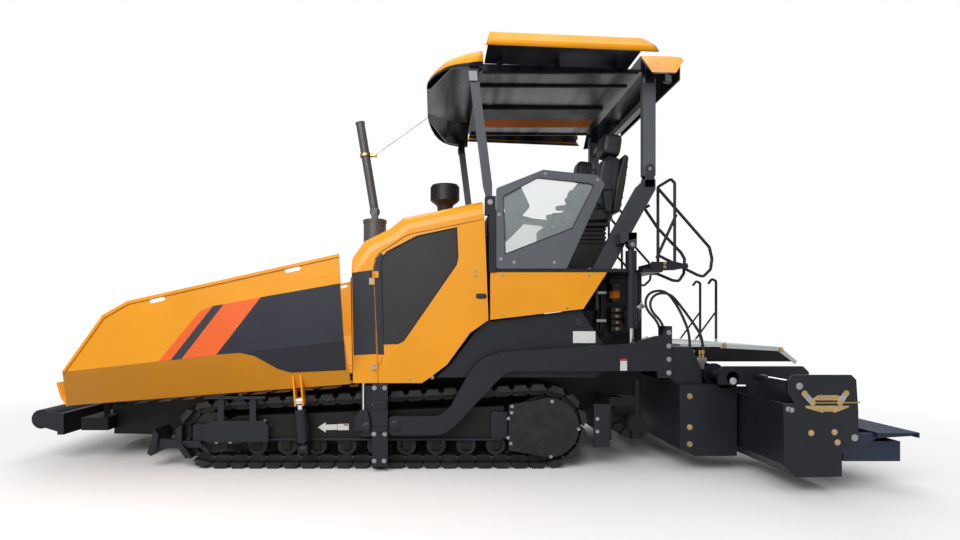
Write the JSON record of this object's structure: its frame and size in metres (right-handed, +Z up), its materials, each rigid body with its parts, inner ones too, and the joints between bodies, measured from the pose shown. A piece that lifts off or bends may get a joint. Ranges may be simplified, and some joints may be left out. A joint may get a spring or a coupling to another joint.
{
  "type": "tracked asphalt paver",
  "caption": "Tracked asphalt paver with lowered hopper wings, folding canopy over an open deck, raised exhaust pipe, tow arms and a telescoping screed drawn out to both sides.",
  "frame": {"origin": "centre of the bounding box on the ground", "axes": "+X to the rear (screed), -X to the front (hopper), +Y to the machine's right side, +Z up"},
  "size_m": [7.6199, 3.86, 3.85],
  "materials": {
    "paint_yellow": "satin yellow-orange paint",
    "frame_grey": "dark grey paint",
    "cover_grey": "light grey paint",
    "track_steel": "worn dark steel",
    "grille_black": "matt black paint",
    "rod_chrome": "polished rod",
    "pipe_steel": "bright pipe",
    "pane_glass": "clear pane",
    "seat_black": "black upholstery"
  },
  "bodies": {
    "base": {"main_frame": "frame_grey", "track_loops": "track_steel", "track_wheels": "track_steel", "track_frames": "frame_grey", "track_guards": "frame_grey", "tow_guides": "frame_grey", "conveyor": "track_steel", "hopper_bulkhead": "paint_yellow", "engine_block": "grille_black", "engine_hood": "paint_yellow", "side_tanks": "paint_yellow", "operator_deck": "frame_grey", "deck_side_panels": "paint_yellow", "side_screens": "frame_grey", "screen_glass": "pane_glass", "seats": "seat_black", "control_desk": "grille_black", "canopy_pillars": "frame_grey", "deck_handrails": "frame_grey", "auger_box": "frame_grey", "exhaust_stack": "grille_black", "air_precleaner": "grille_black"},
    "wing_left": {"wing_left": "paint_yellow"},
    "wing_right": {"wing_right": "paint_yellow"},
    "wing_barrel_left": {"wing_barrel_left": "frame_grey"},
    "wing_barrel_right": {"wing_barrel_right": "frame_grey"},
    "wing_rod_left": {"wing_rod_left": "rod_chrome"},
    "wing_rod_right": {"wing_rod_right": "rod_chrome"},
    "front_apron": {"front_apron": "paint_yellow"},
    "push_beam": {"push_beam": "paint_yellow"},
    "push_roller_left": {"push_roller_left": "track_steel"},
    "push_roller_right": {"push_roller_right": "track_steel"},
    "tow_points": {"tow_points": "frame_grey"},
    "screed": {"tow_arms": "frame_grey", "main_screed": "frame_grey", "screed_housing": "frame_grey", "screed_covers": "cover_grey"},
    "screed_tube_left": {"screed_tube_left": "frame_grey"},
    "screed_tube_right": {"screed_tube_right": "frame_grey"},
    "extension_left": {"extension_left": "frame_grey", "end_gate_left": "frame_grey", "walkway_left": "frame_grey"},
    "extension_right": {"extension_right": "frame_grey", "end_gate_right": "frame_grey", "walkway_right": "frame_grey"},
    "auger_left": {"auger_left": "track_steel"},
    "auger_right": {"auger_right": "track_steel"},
    "lift_barrels": {"lift_barrels": "frame_grey"},
    "lift_pistons": {"lift_pistons": "rod_chrome"},
    "lift_rods": {"lift_rods": "rod_chrome"},
    "rear_posts": {"rear_posts": "frame_grey"},
    "canopy_roof": {"canopy_roof": "paint_yellow"},
    "front_posts": {"front_posts": "frame_grey"},
    "awning_left": {"awning_left": "paint_yellow"},
    "awning_right": {"awning_right": "paint_yellow"},
    "exhaust_pipe": {"exhaust_pipe": "pipe_steel"},
    "door_left": {"door_left": "paint_yellow", "grille_left": "grille_black"},
    "door_right": {"door_right": "paint_yellow", "grille_right": "grille_black"}
  },
  "joints": [
    {"name": "wing_left_lift", "type": "hinge", "parent": "base", "child": "wing_left", "pos_m": [-2, -0.612, 0.63426], "axis": [-0.9971, 0, -0.0758], "range_deg": [0, 24]},
    {"name": "wing_barrel_left_tilt", "type": "hinge", "parent": "base", "child": "wing_barrel_left", "pos_m": [-1.17338, -1.205, 0.19424], "axis": [-0.9971, 0, -0.0758], "range_deg": [-2, 8]},
    {"name": "wing_rod_left_stroke", "type": "slide", "parent": "wing_barrel_left", "child": "wing_rod_left", "axis": [-0.0758, 0, 0.9971], "range_m": [0, 0.26]},
    {"name": "wing_right_lift", "type": "hinge", "parent": "base", "child": "wing_right", "pos_m": [-2, 0.612, 0.63426], "axis": [0.9971, 0, 0.0758], "range_deg": [0, 24]},
    {"name": "wing_barrel_right_tilt", "type": "hinge", "parent": "base", "child": "wing_barrel_right", "pos_m": [-1.17338, 1.205, 0.19424], "axis": [0.9971, 0, 0.0758], "range_deg": [-2, 8]},
    {"name": "wing_rod_right_stroke", "type": "slide", "parent": "wing_barrel_right", "child": "wing_rod_right", "axis": [-0.0758, 0, 0.9971], "range_m": [0, 0.26]},
    {"name": "apron_lift", "type": "hinge", "parent": "base", "child": "front_apron", "pos_m": [-3.29, 0, 0.55], "axis": [0, 1, 0], "range_deg": [0, 55]},
    {"name": "push_beam_swing", "type": "hinge", "parent": "base", "child": "push_beam", "pos_m": [-3.44, 0, 0.34], "axis": [0, 0, 1], "range_deg": [-6, 6]},
    {"name": "push_roller_left_spin", "type": "hinge", "parent": "push_beam", "child": "push_roller_left", "pos_m": [-3.72, -0.5, 0.412], "axis": [0, 1, 0], "continuous": true},
    {"name": "push_roller_right_spin", "type": "hinge", "parent": "push_beam", "child": "push_roller_right", "pos_m": [-3.72, 0.5, 0.412], "axis": [0, 1, 0], "continuous": true},
    {"name": "tow_point_height", "type": "slide", "parent": "base", "child": "tow_points", "axis": [0, 0, 1], "range_m": [-0.05, 0.05]},
    {"name": "screed_lift", "type": "hinge", "parent": "tow_points", "child": "screed", "pos_m": [-0.345, 0, 0.406], "axis": [0, -1, 0], "range_deg": [-1.2, 1.8]},
    {"name": "extension_left_reach", "type": "slide", "parent": "screed", "child": "extension_left", "axis": [0, -1, 0], "range_m": [-0.62, 0.5]},
    {"name": "screed_tube_left_reach", "type": "slide", "parent": "screed", "child": "screed_tube_left", "axis": [0, -1, 0], "range_m": [-0.31, 0.25]},
    {"name": "auger_left_spin", "type": "hinge", "parent": "base", "child": "auger_left", "pos_m": [1.87, -0.5, 0.4], "axis": [0, 1, 0], "continuous": true},
    {"name": "extension_right_reach", "type": "slide", "parent": "screed", "child": "extension_right", "axis": [0, 1, 0], "range_m": [-0.62, 0.5]},
    {"name": "screed_tube_right_reach", "type": "slide", "parent": "screed", "child": "screed_tube_right", "axis": [0, 1, 0], "range_m": [-0.31, 0.25]},
    {"name": "auger_right_spin", "type": "hinge", "parent": "base", "child": "auger_right", "pos_m": [1.87, 0.5, 0.4], "axis": [0, 1, 0], "continuous": true},
    {"name": "lift_barrel_tilt", "type": "hinge", "parent": "base", "child": "lift_barrels", "pos_m": [1.81, 0, 2.04], "axis": [0, 1, 0], "range_deg": [-2, 2.5]},
    {"name": "lift_piston_stroke", "type": "slide", "parent": "lift_barrels", "child": "lift_pistons", "axis": [0, 0, 1], "range_m": [-0.05, 0.05]},
    {"name": "lift_rod_stroke", "type": "slide", "parent": "lift_pistons", "child": "lift_rods", "axis": [0, 0, 1], "range_m": [-0.05, 0.07]},
    {"name": "canopy_fold", "type": "hinge", "parent": "base", "child": "rear_posts", "pos_m": [2.017, 0, 2.765], "axis": [0, -1, 0], "range_deg": [0, 78]},
    {"name": "canopy_roof_tilt", "type": "hinge", "parent": "rear_posts", "child": "canopy_roof", "pos_m": [2.017, 0, 3.61], "axis": [0, 1, 0], "range_deg": [0, 83]},
    {"name": "front_post_tilt", "type": "hinge", "parent": "base", "child": "front_posts", "pos_m": [0.504, 0, 2.411], "axis": [0, -1, 0], "range_deg": [0, 51]},
    {"name": "exhaust_fold", "type": "hinge", "parent": "base", "child": "exhaust_pipe", "pos_m": [-0.622, -0.3, 2.486], "axis": [0, -1, 0], "range_deg": [0, 78]},
    {"name": "door_left_open", "type": "hinge", "parent": "base", "child": "door_left", "pos_m": [-0.514, -1.212, 0.965], "axis": [0.0353, 0, -0.9994], "range_deg": [0, 85]},
    {"name": "door_right_open", "type": "hinge", "parent": "base", "child": "door_right", "pos_m": [-0.514, 1.212, 0.965], "axis": [-0.0353, 0, 0.9994], "range_deg": [0, 85]},
    {"name": "awning_left_slide", "type": "slide", "parent": "canopy_roof", "child": "awning_left", "axis": [0, 1, 0], "range_m": [0, 0.35]},
    {"name": "awning_right_slide", "type": "slide", "parent": "canopy_roof", "child": "awning_right", "axis": [0, -1, 0], "range_m": [0, 0.35]}
  ],
  "couplings": [
    {"joint": "wing_barrel_left_tilt", "follows": "wing_left_lift", "ratio": 0.07824},
    {"joint": "wing_rod_left_stroke", "follows": "wing_left_lift", "m_per_rad": 0.59143},
    {"joint": "screed_tube_left_reach", "follows": "extension_left_reach", "ratio": 0.5},
    {"joint": "wing_barrel_right_tilt", "follows": "wing_right_lift", "ratio": 0.07824},
    {"joint": "wing_rod_right_stroke", "follows": "wing_right_lift", "m_per_rad": 0.59143},
    {"joint": "screed_tube_right_reach", "follows": "extension_right_reach", "ratio": 0.5},
    {"joint": "lift_barrel_tilt", "follows": "screed_lift", "ratio": 0.8},
    {"joint": "lift_piston_stroke", "follows": "tow_point_height", "ratio": 1},
    {"joint": "lift_rod_stroke", "follows": "screed_lift", "m_per_rad": 2.14},
    {"joint": "canopy_roof_tilt", "follows": "canopy_fold", "ratio": 1.0628},
    {"joint": "front_post_tilt", "follows": "canopy_fold", "ratio": 0.65},
    {"joint": "exhaust_fold", "follows": "canopy_fold", "ratio": 1}
  ]
}
